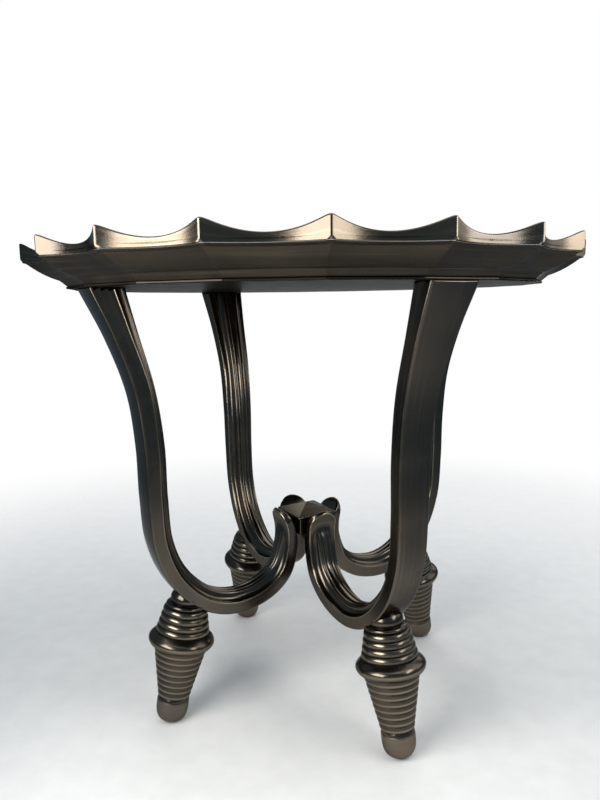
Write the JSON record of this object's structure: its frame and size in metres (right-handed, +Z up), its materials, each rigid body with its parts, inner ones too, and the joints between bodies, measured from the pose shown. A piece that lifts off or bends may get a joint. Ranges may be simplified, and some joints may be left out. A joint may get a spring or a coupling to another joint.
{
  "type": "brass tray table",
  "caption": "Round accent table: a scalloped brass tray with a pointed upright rim on curved reeded legs that meet at a small hub, with ringed, splayed feet.",
  "frame": {"origin": "on the floor, under the middle of the tray", "axes": "+Z up; the legs stand on the diagonals between the axes, and a point of the rim lies on each of +X, +Y, -X and -Y"},
  "size_m": [0.698, 0.698, 0.604],
  "materials": {
    "tray_brass": "antique brass, dark satin patina with faint brushing",
    "rim_brass": "antique brass, brushed along the rim and rubbed brighter on the edges",
    "leg_brass": "antique brass, dark satin patina, bright on the reeds and edges",
    "foot_brass": "antique brass, dark patina in the grooves, bright on the rings",
    "hub_brass": "antique brass, satin",
    "steel": "plain steel"
  },
  "bodies": {
    "root": {"base_plate": "tray_brass", "tray_pan": "tray_brass", "rim_band": "rim_brass", "plate_screw_front_right_1": "steel", "plate_screw_front_right_2": "steel", "plate_screw_back_right_1": "steel", "plate_screw_back_right_2": "steel", "plate_screw_back_left_1": "steel", "plate_screw_back_left_2": "steel", "plate_screw_front_left_1": "steel", "plate_screw_front_left_2": "steel", "leg_front_right": "leg_brass", "leg_back_right": "leg_brass", "leg_back_left": "leg_brass", "leg_front_left": "leg_brass", "foot_front_right": "foot_brass", "glide_front_right": "foot_brass", "foot_stud_front_right": "steel", "foot_back_right": "foot_brass", "glide_back_right": "foot_brass", "foot_stud_back_right": "steel", "foot_back_left": "foot_brass", "glide_back_left": "foot_brass", "foot_stud_back_left": "steel", "foot_front_left": "foot_brass", "glide_front_left": "foot_brass", "foot_stud_front_left": "steel", "hub_box": "hub_brass", "hub_cap": "hub_brass", "hub_cap_screw": "steel", "hub_bolt_front_right": "steel", "hub_bolt_back_right": "steel", "hub_bolt_back_left": "steel", "hub_bolt_front_left": "steel"}
  },
  "joints": []
}
